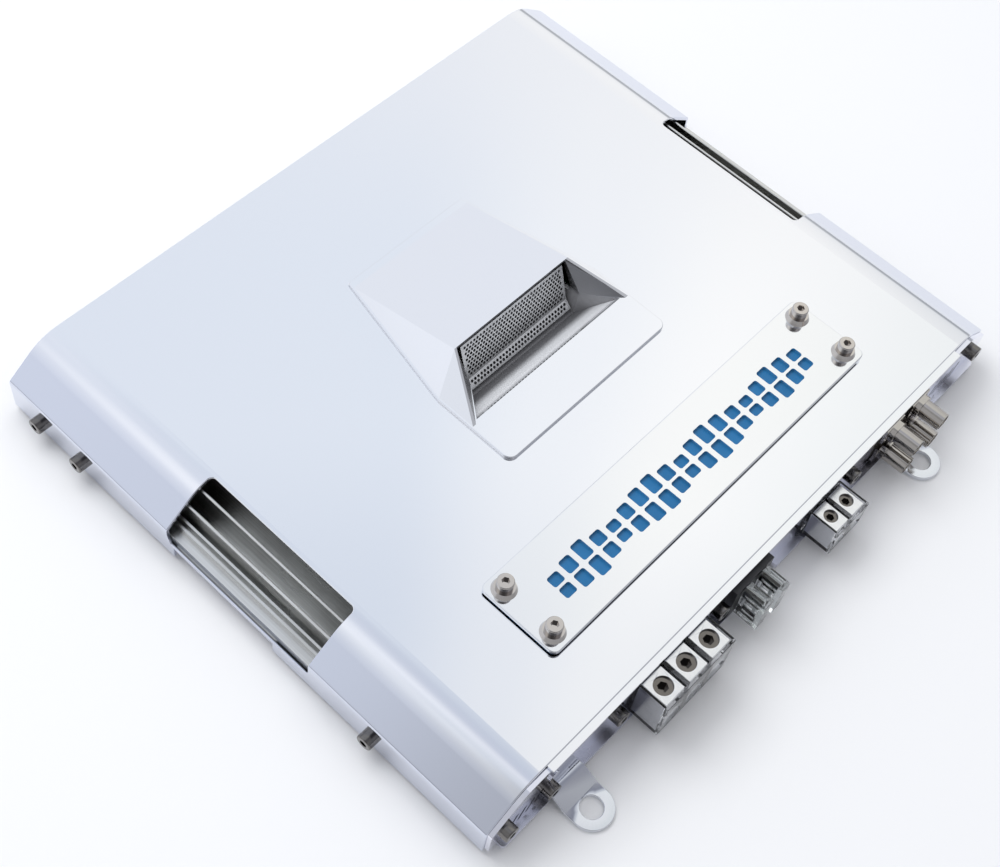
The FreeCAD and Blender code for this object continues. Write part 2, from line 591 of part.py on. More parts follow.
def foot(x, outward, panel_y, edge_y, run, ring, rivet_y):
    """Joggled strap: a tongue riveted inside, a slope down past the base, a ring on the floor."""
    tip_y, radius, hole = ring
    shift = outward * FOOT_T * math.tan(math.atan2(BASE_Z, run) / 2)
    root, bend = rivet_y - outward * FOOT_TAIL, edge_y + outward * FIT
    fall, end = bend + outward * run, tip_y + outward * radius
    side = [(root, BASE_Z), (bend, BASE_Z), (fall, 0), (end, 0), (end, FOOT_T), (fall + shift, FOOT_T),
            (bend + shift, BASE_Z + FOOT_T), (root, BASE_Z + FOOT_T)]
    strap = prism([V(x - radius, y, z) for y, z in side], 0, X * 2 * radius)
    face, top = panel_y + outward * SLIP, BASE_Z + FOOT_T
    low, high = sorted((root, tip_y))
    tongue = box(x - FOOT_TONGUE, x + FOOT_TONGUE, low, high, 0, top)
    low, high = sorted((face, tip_y))
    plan = join([tongue, box(x - radius, x + radius, low, high, 0, top), rod(radius, (x, tip_y, 0), top)])
    holes = [rod(hole, (x, tip_y, -1), FOOT_T + 2), rod(CAP_SHANK_R + SLIP, (x, rivet_y, 0), top + 1)]
    return cut(strap.common(plan), holes)


def front_foot(x):
    return foot(x, -1, PANEL_FACE, FRONT - FLANGE_OUT, FOOT_RUN, (FOOT_Y, FOOT_R, FOOT_HOLE),
                FRONT + FOOT_RIVET_IN)


def rear_foot(x):
    return foot(x, 1, REAR_FACE, REAR_FACE, REAR_FOOT_RUN, (REAR_FOOT_Y, REAR_FOOT_R, REAR_FOOT_HOLE),
                REAR_FACE - REAR_RIVET_IN)


def foot_notches(y, depth):
    """Openings at the foot of a panel for the tongues of two feet."""
    half = FOOT_TONGUE + FIT
    return [box(x - half, x + half, y, y + depth, BASE_Z - 1, BASE_Z + FOOT_T + FIT) for x in FOOT_X]


def foot_rivets():
    rivets = []
    for x, y in foot_rivet_places():
        top = BASE_Z + FOOT_T
        shank = rod(CAP_SHANK_R, (x, y, FOOT_T), top - FOOT_T)
        rivets.append(shank.fuse(rod(RIVET_R, (x, y, top), RIVET_T)))
    return group(rivets)


# ---- terminals ----------------------------------------------------------------------
def terminal_centres(x, pitch, count):
    return [x + (n - (count - 1) / 2) * pitch for n in range(count)]


def terminal_housing(x, pitch, count, z0, z1, block, wire_r, wire_z):
    """Clear housing: one open-topped pocket for each block, a wire entry in front of each."""
    width = pitch * count
    back = PANEL_FACE - 0.05
    body = box(x - width / 2, x + width / 2, TERM_FRONT, back, z0, z1)
    neck = box(x - width / 2 + 2, x + width / 2 - 2, back - 0.5, FRONT + 5, z0 + 2.6, z1 - 3.6)
    tools = []
    for centre in terminal_centres(x, pitch, count):
        half = block / 2 + SLIP
        tools.append(box(centre - half, centre + half, TERM_FRONT + TERM_WALL, PANEL_FACE - TERM_BACK_WALL,
                         z0 + 1.6, z1 + 1))
        tools.append(rod(wire_r + 0.8, (centre, TERM_FRONT - 1, wire_z), 4, Y))
        tools.append(box(centre - 2.6, centre + 2.6, back - 2, FRONT + 8, wire_z - 1.1, wire_z + 1.1))
    return cut(body.fuse(neck), tools)


def terminal_middle():
    return (TERM_FRONT + TERM_WALL + PANEL_FACE - TERM_BACK_WALL) / 2


def terminal_blocks(x, pitch, count, z0, z1, block, wire_r, wire_z, size, travel):
    """Metal blocks: a wire hole in front, a stepped screw hole above, a tail to the board."""
    blocks = []
    front, back = TERM_FRONT + TERM_WALL + SLIP, PANEL_FACE - TERM_BACK_WALL - SLIP
    middle, step = terminal_middle(), z1 - TERM_RECESS - size[1] - travel - 0.1
    for centre in terminal_centres(x, pitch, count):
        body = box(centre - block / 2, centre + block / 2, front, back, z0 + 1.65, z1 - 0.8)
        body = body.makeChamfer(0.4, body.Edges)
        tail = box(centre - 2.5, centre + 2.5, back - 0.5, FRONT + 12, wire_z - 0.9, wire_z + 0.9)
        leg = box(centre - 2.5, centre + 2.5, FRONT + 10, FRONT + 12, BOARD_Z - 1.5, wire_z + 0.9)
        tools = [rod(wire_r, (centre, front - 1, wire_z), (back - front) * 0.85, Y),
                 rod(size[0] + SLIP, (centre, middle, step), z1),
                 rod(size[2] + SLIP, (centre, middle, wire_z), z1)]
        blocks.append(cut(join([body, tail, leg]), tools))
    return group(blocks)


PWR_WIRE_Z = PWR_Z0 + 1.65 + 1.6 + PWR_WIRE_R
SPK_WIRE_Z = SPK_Z0 + 1.65 + 1.4 + SPK_WIRE_R
PWR_ARGS = (PWR_X, PWR_PITCH, PWR_N, PWR_Z0, PWR_Z1, PWR_BLOCK, PWR_WIRE_R, PWR_WIRE_Z)
SPK_ARGS = (SPK_X, SPK_PITCH, SPK_N, SPK_Z0, SPK_Z1, SPK_BLOCK, SPK_WIRE_R, SPK_WIRE_Z)


def power_set_screw(n):
    x = terminal_centres(PWR_X, PWR_PITCH, PWR_N)[n]
    return set_screw(PWR_SCREW, (x, terminal_middle(), PWR_Z1 - TERM_RECESS))


def speaker_set_screw(n):
    x = terminal_centres(SPK_X, SPK_PITCH, SPK_N)[n]
    return set_screw(SPK_SCREW, (x, terminal_middle(), SPK_Z1 - TERM_RECESS))


# ---- fuses --------------------------------------------------------------------------
FUSE_SEAT = PANEL_FACE - 3.5


def fuse_holder():
    x0, x1 = FUSE_X[0] - 5.4, FUSE_X[1] + 5.4
    flange = box(x0 - 1.2, x1 + 1.2, FUSE_SEAT, PANEL_FACE - 0.05, FUSE_Z - 10.6, FUSE_Z + 10.6)
    body = box(x0 + 0.6, x1 - 0.6, PANEL_FACE - 0.5, FRONT + 12, FUSE_Z - 8.6, FUSE_Z + 8.6)
    tools = []
    thickness, reach, width = BLADE
    for x in FUSE_X:
        for side in (-1, 1):
            z = FUSE_Z + side * BLADE_Z
            tools.append(box(x - thickness / 2 - 0.05, x + thickness / 2 + 0.05, FUSE_SEAT - 1, FRONT + 9,
                             z - width / 2 - 0.05, z + width / 2 + 0.05))
    return cut(flange.fuse(body), tools)


def fuse_body(x):
    thickness, reach, height = FUSE_BODY
    y1 = FUSE_SEAT - FIT
    y0 = y1 - reach
    body = box(x - thickness / 2, x + thickness / 2, y0, y1, FUSE_Z - height / 2, FUSE_Z + height / 2)
    window = box(x - thickness, x + thickness, y0 + 2.6, y1 - 2.4, FUSE_Z - 4.1, FUSE_Z + 4.1)
    grips = []
    for side in (-1, 1):
        for z in (-6.6, 6.6):
            xs = sorted((x + side * thickness / 2, x + side * (thickness / 2 - 0.7)))
            grips.append(box(xs[0] - (0 if side > 0 else 1), xs[1] + (1 if side > 0 else 0),
                             y0 + 2.0, y1 - 1.6, FUSE_Z + z - 0.7, FUSE_Z + z + 0.7))
    half, reach = BLADE[0] / 2, BLADE[2] / 2
    slots = [box(x - half, x + half, y0 + 2.4, y1 + 1, z - reach, z + reach)
             for z in (FUSE_Z - BLADE_Z, FUSE_Z + BLADE_Z)]
    return cut(body, grips + slots + [window])


def fuse_blades(x):
    thickness, reach, width = BLADE
    y1 = FUSE_SEAT - FIT
    pieces = [box(x - thickness / 2, x + thickness / 2, y1 - FUSE_BODY[1] + 2.4, y1 + reach,
                  FUSE_Z + s * BLADE_Z - width / 2, FUSE_Z + s * BLADE_Z + width / 2) for s in (-1, 1)]
    link = box(x - 0.3, x + 0.3, y1 - 7.0, y1 - 5.6, FUSE_Z - 4, FUSE_Z + 4)
    return join(pieces + [link])


# ---- phono sockets ------------------------------------------------------------------
def rca_centres():
    return [(x, z) for x in RCA_X for z in RCA_Z]


def rca_block():
    x0, x1 = RCA_X[0] - 8.6, RCA_X[1] + 8.6
    body = box(x0, x1, PANEL_FACE + 0.4, FRONT + 14, BASE_Z + 2.4, RCA_Z[1] + 3.6)
    divider = (RCA_X[0] + RCA_X[1]) / 2
    groove = box(divider - 0.8, divider + 0.8, PANEL_FACE, PANEL_FACE + 1.6, BASE_Z, COVER_H)
    tools = [rod(3.0, (x, PANEL_FACE - 1, z), 8, Y) for x, z in rca_centres()]
    return cut(body, tools + [groove])


def rca_shells():
    """Nickel shells: square-sided seat, round collar, then the phono barrel."""
    shells = []
    for x, z in rca_centres():
        seat_y = PANEL_FACE + 0.4
        seat = box(x - 6.2, x + 6.2, seat_y - 2.2, seat_y, z - RCA_FLAT, z + RCA_FLAT)
        collar = rod(5.2, (x, seat_y - 4.6, z), 2.6, Y)
        collar = collar.common(box(x - 6, x + 6, seat_y - 5, seat_y, z - RCA_FLAT, z + RCA_FLAT))
        barrel = rod(RCA_SHELL_R, (x, RCA_END, z), seat_y - RCA_END, Y)
        shell = join([seat, collar, barrel])
        shells.append(shell.cut(rod(RCA_SHELL_R - 0.6, (x, RCA_END - 1, z), seat_y - RCA_END + 2, Y)))
    return group(shells)


def rca_insulators():
    pieces = []
    for x, z in rca_centres():
        ring = tube(RCA_SHELL_R - 0.65, 1.65, (x, RCA_END + 1.0, z), PANEL_FACE + 0.4 - RCA_END - 1.1, Y)
        pieces.append(ring)
    return group(pieces)


# ---- rear controls ------------------------------------------------------------------
def control_body_front():
    return REAR_FACE - REAR_T - FIT


def potentiometers():
    pieces = []
    for x in KNOB_X:
        y1 = control_body_front()
        case = box(x - 5, x + 5, y1 - 8, y1, BOARD_TOP + 0.2, KNOB_Z + 5.5)
        bush = rod(KNOB_BORE, (x, y1 - 0.5, KNOB_Z), REAR_T + FIT + 1.1, Y)
        tool = rod(1.6 + SLIP, (x, y1 - 6, KNOB_Z), 12, Y)
        pieces.append(case.fuse(bush).cut(tool))
    return group(pieces)


def knob(n):
    """Knob and its shaft in one turning piece, with a pointer groove."""
    x = KNOB_X[n]
    start = REAR_FACE + 1.0
    cap = Part.makeCone(KNOB_R, KNOB_R - 0.5, KNOB_H - 1.0, V(x, start, KNOB_Z), Y)
    shaft = rod(1.6, (x, start - 8.0, KNOB_Z), 8.5, Y)
    pointer = box(x - 0.4, x + 0.4, start + 1.5, start + KNOB_H, KNOB_Z + 1.0, KNOB_Z + KNOB_R + 1)
    flutes = []
    for k in range(1, 12):
        a = math.radians(90 + 30 * k)
        place = (x + KNOB_R * math.cos(a), start - 1, KNOB_Z + KNOB_R * math.sin(a))
        flutes.append(rod(0.45, place, KNOB_H + 2, Y))
    return cut(cap.fuse(shaft), flutes + [pointer])


def switch_bodies():
    """Cases of the slide switches: a pocket for the slider behind the panel."""
    pieces = []
    pocket = SLIDER_HALF + SWITCH_THROW / 2 + 0.4
    for x in SWITCH_X:
        y1 = control_body_front()
        case = box(x - 8, x + 8, y1 - 6, y1, BOARD_TOP + 0.2, KNOB_Z + 4)
        half = SLIDER_Z + 0.35
        pieces.append(case.cut(box(x - pocket, x + pocket, y1 - 3.5, y1 + 1, KNOB_Z - half, KNOB_Z + half)))
    return group(pieces)


def switch_lever(n):
    """Stem through the panel on a wider slider that the panel keeps in."""
    x = SWITCH_X[n] - SWITCH_THROW / 2
    y1 = control_body_front()
    y0 = y1 - 3.1
    slider = box(x - SLIDER_HALF, x + SLIDER_HALF, y0, y1, KNOB_Z - SLIDER_Z, KNOB_Z + SLIDER_Z)
    stem = box(x - STEM_HALF, x + STEM_HALF, y1 - 1, REAR_FACE + 3.0, KNOB_Z - STEM_Z, KNOB_Z + STEM_Z)
    return slider.fuse(stem)


def status_leds():
    pieces = []
    for x in LED_X:
        lens = rod(1.5, (x, REAR_FACE - 5, KNOB_Z), 5.2, Y)
        dome = Part.makeSphere(1.5, V(x, REAR_FACE + 0.2, KNOB_Z))
        rim = rod(1.9, (x, REAR_FACE - 6, KNOB_Z), 1.0, Y)
        legs = [box(x + s - 0.25, x + s + 0.25, REAR_FACE - 6.0, REAR_FACE - 5.5, BOARD_Z - 1, KNOB_Z)
                for s in (-0.9, 0.9)]
        pieces.append(join([lens, dome, rim] + legs))
    return group(pieces)


def remote_port():
    """Modular socket for a wired bass remote."""
    x, y1 = PORT_X, REAR_FACE - 0.2
    body = box(x - 6.3, x + 6.3, y1 - 14, y1, PORT_Z - 5.8, PORT_Z + 5.8)
    mouth = box(x - 4.8, x + 4.8, y1 - 10, y1 + 1, PORT_Z - 4.0, PORT_Z + 3.0)
    keyway = box(x - 1.6, x + 1.6, y1 - 10, y1 + 1, PORT_Z + 2.0, PORT_Z + 4.6)
    return cut(body, [mouth, keyway])


# ---- inside -------------------------------------------------------------------------
TOROID = (-68.0, -38.0, 27.0)
STANDOFFS = [(-108.0, -112.0), (108.0, -108.0), (-108.0, 112.0), (104.0, 112.0), (-40.0, -112.0),
             (60.0, -112.0)]


def fan_posts():
    half = FAN_HOLE / 2
    return [(sx * half, FAN_Y + sy * half) for sx in (-1, 1) for sy in (-1, 1)]


def board_slot(x0, x1, y0, y1):
    return box(x0, x1, y0, y1, BOARD_Z - 1, BOARD_TOP + 1)


def circuit_board():
    outline = [(-BOARD_X, BOARD_Y0), (BOARD_X, BOARD_Y0), (BOARD_X, BOARD_Y1), (-BOARD_X, BOARD_Y1)]
    board = flat_prism(outline, 2.0, BOARD_Z, BOARD_TOP)
    tools = [rod(1.6, (x, y, BOARD_Z - 1), BOARD_T + 2) for x, y in STANDOFFS]
    tools += [rod(3.6, (x, y, BOARD_Z - 1), BOARD_T + 2) for x, y in fan_posts()]
    for x, pitch, count in ((PWR_X, PWR_PITCH, PWR_N), (SPK_X, SPK_PITCH, SPK_N)):
        for centre in terminal_centres(x, pitch, count):
            tools.append(board_slot(centre - 2.6, centre + 2.6, FRONT + 9.9, FRONT + 12.1))
    for x, z in FRONT_SCREWS + REAR_SCREWS:
        if abs(x) < SINK_IN:
            y = FRONT if (x, z) in FRONT_SCREWS else REAR_FACE - REAR_T
            tools.append(board_slot(x - 6, x + 6, y - 6.3, y + 6.3))
    for x in LED_X:
        for leg in (x - 0.9, x + 0.9):
            tools.append(board_slot(leg - 0.3, leg + 0.3, REAR_FACE - 6.1, REAR_FACE - 5.4))
    body_x = (FUSE_X[0] + FUSE_X[1]) / 2
    tools.append(board_slot(body_x - 11.5, body_x + 11.5, FRONT + 5, FRONT + 12.3))
    tools.append(board_slot(RCA_X[0] - 9, RCA_X[1] + 9, FRONT + 5, FRONT + 14.3))
    return cut(board, tools)


def standoffs():
    """Spacers under the circuit board and under the fan."""
    short = [tube(3.2, 1.5, (x, y, BASE_Z), BOARD_Z - BASE_Z) for x, y in STANDOFFS]
    tall = [tube(3.2, 1.95, (x, y, BASE_Z), FAN_Z0 - BASE_Z) for x, y in fan_posts()]
    return group(short + tall)


def board_screws():
    return group([rod(1.45, (x, y, BOARD_Z - 4), 4 + BOARD_T).fuse(rod(2.8, (x, y, BOARD_TOP), 1.8))
                  for x, y in STANDOFFS])


def transformer_core():
    x, y, radius = TOROID
    return tube(radius - 5, 9.5, (x, y, BOARD_TOP + 3.2), 10.5)


def transformer_winding():
    """Copper wound round the ring core, as a closed jacket with a scalloped outside."""
    x, y, radius = TOROID
    z0 = BOARD_TOP + 0.3
    jacket = tube(radius - 2.4, 6.9, (x, y, z0), 16.2)
    turns = 36
    ribs = []
    for k in range(turns):
        a = 2 * math.pi * k / turns
        place = (x + (radius - 2.6) * math.cos(a), y + (radius - 2.6) * math.sin(a), z0 + 0.6)
        ribs.append(rod(1.9, place, 15.0))
    core = tube(radius - 4.95, 9.45, (x, y, BOARD_TOP + 3.15), 10.6)
    return join([jacket] + ribs).cut(core)


def capacitors():
    spots = [(-16.0, -100.0), (3.0, -100.0), (22.0, -100.0), (-16.0, -80.0), (3.0, -80.0), (22.0, -80.0)]
    cans = []
    for x, y in spots:
        can = rod(8.0, (x, y, BOARD_TOP), 18.0)
        cans.append(can.makeFillet(0.8, [can.Edges[0]]))
    small = [rod(4.0, (x, 92.0, BOARD_TOP), 12.0) for x in (-60.0, -48.0, -36.0, 48.0, 60.0, 72.0)]
    return group(cans + small)


def power_transistors():
    pieces = []
    for side in (-1, 1):
        for n in range(8):
            y = -96.0 + n * 26.0
            x0, x1 = sorted((side * (SINK_IN - 0.05), side * (SINK_IN - 4.6)))
            body = box(x0, x1, y - 5.1, y + 5.1, BOARD_TOP + 3.5, BOARD_TOP + 12.7)
            t0, t1 = sorted((side * (SINK_IN - 0.05), side * (SINK_IN - 1.35)))
            tab = box(t0, t1, y - 5.1, y + 5.1, BOARD_TOP + 12.6, BOARD_TOP + 18.4)
            x_leg = side * (SINK_IN - 2.6)
            legs = [box(x_leg - 0.3, x_leg + 0.3, y + s - 0.45, y + s + 0.45, BOARD_TOP, BOARD_TOP + 3.6)
                    for s in (-2.54, 0.0, 2.54)]
            pieces.append(join([body, tab] + legs))
    return group(pieces)


def transistor_clamps():
    pieces = []
    for side in (-1, 1):
        x0, x1 = sorted((side * (SINK_IN - 4.65), side * (SINK_IN - 7.2)))
        bar = box(x0, x1, -103.0, 93.0, BOARD_TOP + 6.0, BOARD_TOP + 11.0)
        pieces.append(bar)
    return group(pieces)


def filter_chokes():
    pieces = []
    for x, y in ((62.0, -84.0), (88.0, -84.0)):
        ring = tube(10.5, 4.6, (x, y, BOARD_TOP + 0.2), 12.0)
        rims = [e for e in ring.Edges if e.Length > 20 and e.BoundBox.ZLength < 1e-6]
        pieces.append(ring.makeFillet(1.6, rims))
    return group(pieces)


def driver_chips():
    pieces = []
    for x, y, long, wide in ((58.0, -38.0, 19.0, 6.4), (58.0, -20.0, 19.0, 6.4), (84.0, -38.0, 10.0, 6.4),
                             (84.0, -20.0, 10.0, 6.4), (-86.0, 74.0, 10.0, 6.4), (82.0, 74.0, 19.0, 6.4)):
        body = box(x - long / 2, x + long / 2, y - wide / 2, y + wide / 2, BOARD_TOP + 0.5, BOARD_TOP + 3.9)
        legs = []
        for n in range(int(long / 2.54)):
            leg_x = x - long / 2 + 1.4 + n * 2.54
            for s in (-1, 1):
                y0, y1 = sorted((y + s * (wide / 2 - 0.1), y + s * (wide / 2 + 0.9)))
                legs.append(box(leg_x - 0.4, leg_x + 0.4, y0, y1, BOARD_TOP, BOARD_TOP + 2.2))
        pieces.append(join([body] + legs))
    return group(pieces)


def fan_frame():
    half = FAN_SIZE / 2
    corners = [(-half, FAN_Y - half), (half, FAN_Y - half), (half, FAN_Y + half), (-half, FAN_Y + half)]
    frame = flat_prism(corners, 4.0, FAN_Z0, FAN_Z0 + FAN_T)
    frame = frame.cut(rod(FAN_BORE_R, (0, FAN_Y, FAN_Z0 - 1), FAN_T + 2))
    spokes = [box(-1.5, 1.5, FAN_Y - FAN_BORE_R - 1, FAN_Y + FAN_BORE_R + 1, FAN_Z0, FAN_Z0 + 2),
              box(-FAN_BORE_R - 1, FAN_BORE_R + 1, FAN_Y - 1.5, FAN_Y + 1.5, FAN_Z0, FAN_Z0 + 2),
              rod(FAN_HUB_R, (0, FAN_Y, FAN_Z0), 2.5),
              tube(3.0, 1.5, (0, FAN_Y, FAN_Z0 + 2), 8.0)]
    holes = [rod(CAP_SHANK_R + 0.15, (x, y, FAN_Z0 - 1), FAN_T + 2) for x, y in fan_posts()]
    waist = []
    for x, y in fan_posts():
        waist.append(tube(12.0, 4.6, (x, y, FAN_Z0 + 3.5), FAN_T - 7.0))
    body = cut(frame, waist)
    return cut(join([body] + spokes), holes)


def fan_blade(angle):
    """Pitched blade from the hub to just inside the bore."""
    root, tip = FAN_HUB_R - 0.8, FAN_BORE_R - 0.9
    z0, rise, chord, thickness = FAN_Z0 + 3.6, 8.4, 13.0, 1.2
    side = [V(root, -chord / 2, z0), V(root, -chord / 2 + 1.6, z0), V(root, chord / 2, z0 + rise),
            V(root, chord / 2 - 1.6, z0 + rise)]
    blade = prism(side, 0, X * (tip - root))
    blade = blade.common(tube(tip, root - 0.5, (0, 0, z0 - 1), rise + thickness + 2))
    blade.rotate(V(0, 0, 0), Z, angle)
    blade.translate(V(0, FAN_Y, 0))
    return blade


def fan_rotor():
    z0 = FAN_Z0 + 2.9
    cup = rod(FAN_HUB_R, (0, FAN_Y, z0), 10.6).cut(rod(FAN_HUB_R - 1.5, (0, FAN_Y, z0 - 1), 10.1))
    shaft = rod(1.45, (0, FAN_Y, z0 + 0.4), 9.8)
    return join([cup, shaft] + [fan_blade(360.0 * k / FAN_BLADES) for k in range(FAN_BLADES)])


def fan_screws():
    return group([rod(1.9, (x, y, FAN_Z0 - 6), FAN_T + 6).fuse(rod(3.2, (x, y, FAN_Z0 + FAN_T), 0.9))
                  for x, y in fan_posts()])


NODES = {
    "top_cover": top_cover, "scoop_housing": scoop_housing, "scoop_mesh": scoop_mesh,
    "nameplate": nameplate, "nameplate_backing": nameplate_backing, "nameplate_spacers": nameplate_spacers,
    "nameplate_screws": nameplate_screws, "nameplate_nuts": nameplate_nuts,
    "heatsink_left": heatsink_left, "heatsink_right": lambda: heatsink_with_end_holes(1),
    "base_plate": base_plate, "front_panel": front_panel, "rear_panel": rear_panel,
    "panel_brackets": panel_brackets, "front_panel_screws": front_panel_screws,
    "case_screws": case_screws,
    "foot_front_left": lambda: front_foot(FOOT_X[0]), "foot_front_right": lambda: front_foot(FOOT_X[1]),
    "foot_rear_left": lambda: rear_foot(FOOT_X[0]), "foot_rear_right": lambda: rear_foot(FOOT_X[1]),
    "foot_rivets": foot_rivets,
    "power_terminal_housing": lambda: terminal_housing(*PWR_ARGS),
    "power_terminal_blocks": lambda: terminal_blocks(*PWR_ARGS, PWR_SCREW, PWR_TRAVEL),
    "speaker_terminal_housing": lambda: terminal_housing(*SPK_ARGS),
    "speaker_terminal_blocks": lambda: terminal_blocks(*SPK_ARGS, SPK_SCREW, SPK_TRAVEL),
    "fuse_holder": fuse_holder,
    "rca_block": rca_block, "rca_shells": rca_shells, "rca_insulators": rca_insulators,
    "potentiometers": potentiometers, "switch_bodies": switch_bodies, "status_leds": status_leds,
    "remote_port": remote_port, "circuit_board": circuit_board, "standoffs": standoffs,
    "board_screws": board_screws, "transformer_core": transformer_core,
    "transformer_winding": transformer_winding, "capacitors": capacitors,
    "power_transistors": power_transistors, "transistor_clamps": transistor_clamps,
    "filter_chokes": filter_chokes, "driver_chips": driver_chips,
    "fan_frame": fan_frame, "fan_rotor": fan_rotor, "fan_screws": fan_screws,
}
for index in range(PWR_N):
    NODES["power_set_screw_%d" % (index + 1)] = lambda n=index: power_set_screw(n)
for index in range(SPK_N):
    NODES["speaker_set_screw_%d" % (index + 1)] = lambda n=index: speaker_set_screw(n)
for index, fuse_x in enumerate(FUSE_X):
    NODES["fuse_body_%d" % (index + 1)] = lambda x=fuse_x: fuse_body(x)
    NODES["fuse_blades_%d" % (index + 1)] = lambda x=fuse_x: fuse_blades(x)
for index, knob_name in enumerate(("level_knob", "crossover_knob", "bass_knob")):
    NODES[knob_name] = lambda n=index: knob(n)
for index, lever_name in enumerate(("filter_switch_lever", "input_switch_lever")):
    NODES[lever_name] = lambda n=index: switch_lever(n)

os.makedirs("parts", exist_ok=True)
for name, make in NODES.items():
    shape = make()
    shape.translate(V(0, CENTRE_Y, 0))
    if not shape.isValid():
        print("INVALID", name)
    shape.exportStep("parts/%s.step" % name)
    print("%-26s solids %2d  volume %10.0f" % (name, len(shape.Solids), shape.Volume))
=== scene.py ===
"""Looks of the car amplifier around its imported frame: materials, fine detail, light and camera."""

import json
import math

import bmesh
import bpy
from mathutils import Matrix, Vector


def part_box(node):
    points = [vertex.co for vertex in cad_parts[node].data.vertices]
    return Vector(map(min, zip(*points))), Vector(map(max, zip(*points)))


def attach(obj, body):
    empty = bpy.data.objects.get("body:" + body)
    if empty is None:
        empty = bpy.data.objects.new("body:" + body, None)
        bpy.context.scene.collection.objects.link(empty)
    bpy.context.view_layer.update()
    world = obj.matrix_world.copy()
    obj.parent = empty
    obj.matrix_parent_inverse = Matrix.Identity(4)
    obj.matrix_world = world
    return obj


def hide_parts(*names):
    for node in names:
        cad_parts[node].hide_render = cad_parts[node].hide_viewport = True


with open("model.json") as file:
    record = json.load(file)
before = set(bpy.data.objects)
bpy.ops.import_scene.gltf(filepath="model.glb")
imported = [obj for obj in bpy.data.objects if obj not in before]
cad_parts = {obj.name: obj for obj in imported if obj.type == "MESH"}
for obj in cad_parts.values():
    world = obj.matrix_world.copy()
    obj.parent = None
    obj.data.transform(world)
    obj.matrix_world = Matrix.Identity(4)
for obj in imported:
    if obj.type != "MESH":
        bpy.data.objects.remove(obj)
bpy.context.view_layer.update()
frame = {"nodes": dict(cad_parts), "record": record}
NODES = frame["nodes"]
MM = 0.001


def box_mm(node):
    """A CAD node's lowest and highest corners in millimetres, to the nearest hundredth."""
    return [[round(v / MM, 2) for v in corner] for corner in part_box(node)]


def toward(azimuth, elevation):
    """Unit vector at an azimuth from the front, which is -Y, and an elevation above the floor."""
    level = math.cos(elevation)
    return Vector((math.sin(azimuth) * level, -math.cos(azimuth) * level, math.sin(elevation)))


def add_object(name, data):
    """Put new data in the scene as an object."""
    thing = bpy.data.objects.new(name, data)
    bpy.context.scene.collection.objects.link(thing)
    return thing


def add_mesh(name, bm, material):
    """Turn a bmesh into an object of one material."""
    mesh = bpy.data.meshes.new(name)
    bm.to_mesh(mesh)
    bm.free()
    mesh.materials.append(material)
    return add_object(name, mesh)


# ---- camera: the view of the front left corner from above --------------------------------
CAMERA_AZIMUTH, CAMERA_ELEVATION, CAMERA_ROLL = (math.radians(v) for v in (-55.55, 57.41, 10.13))
CAMERA_TARGET = Vector((-35.2, -14.4, 20.3)) * MM
CAMERA_DISTANCE = 638.9 * MM
CAMERA_LENS, CAMERA_SENSOR = 56.7, 36.0
CAMERA_CLIP = (0.02, 50.0)


def make_camera():
    back = toward(CAMERA_AZIMUTH, CAMERA_ELEVATION)
    right = Vector((math.cos(CAMERA_AZIMUTH), math.sin(CAMERA_AZIMUTH), 0.0))
    up = back.cross(right)
    cosine, sine = math.cos(CAMERA_ROLL), math.sin(CAMERA_ROLL)
    axes = Matrix((right * cosine + up * sine, up * cosine - right * sine, back)).transposed()
    data = bpy.data.cameras.new("camera")
    data.lens, data.sensor_width = CAMERA_LENS, CAMERA_SENSOR
    data.clip_start, data.clip_end = CAMERA_CLIP
    camera = add_object("camera", data)
    place = Matrix.Translation(CAMERA_TARGET + back * CAMERA_DISTANCE)
    camera.matrix_world = place @ axes.to_4x4()
    bpy.context.scene.camera = camera


# ---- node helpers ------------------------------------------------------------------------
class Nodes:
    """A node tree with short calls to add, feed and combine its nodes."""

    def __init__(self, tree):
        self.tree = tree

    def add(self, kind, **values):
        node = self.tree.nodes.new("ShaderNode" + kind)
        for key, value in values.items():
            setattr(node, key, value)
        return node

    def feed(self, socket, value):
        """Link a value's socket, or set a constant; a constant colour gets its alpha here."""
        if isinstance(value, bpy.types.NodeSocket):
            self.tree.links.new(value, socket)
        else:
            socket.default_value = (*value, 1.0) if socket.type == "RGBA" else value

    def split(self, source):
        """The X, Y and Z sockets of a vector."""
        node = self.add("SeparateXYZ")
        self.feed(node.inputs["Vector"], source)
        return node.outputs

    def calc(self, operation, *values):
        node = self.add("Math", operation=operation)
        for socket, value in zip(node.inputs, values):
            self.feed(socket, value)
        return node.outputs["Value"]

    def ramp(self, source, stops, interpolation="LINEAR"):
        """Colour ramp over (position, colour) stops."""
        node = self.add("ValToRGB")
        node.color_ramp.interpolation = interpolation
        elements = node.color_ramp.elements
        while len(elements) < len(stops):
            elements.new(1.0)
        for element, (position, tone) in zip(elements, stops):
            element.position, element.color = position, (*tone, 1.0)
        self.feed(node.inputs["Fac"], source)
        return node.outputs["Color"]

    def mix(self, factor, first, second, kind="MIX"):
        """Mix two colours; each value is a socket or a constant."""
        node = self.add("MixRGB", blend_type=kind)
        for name, value in (("Fac", factor), ("Color1", first), ("Color2", second)):
            self.feed(node.inputs[name], value)
        return node.outputs["Color"]


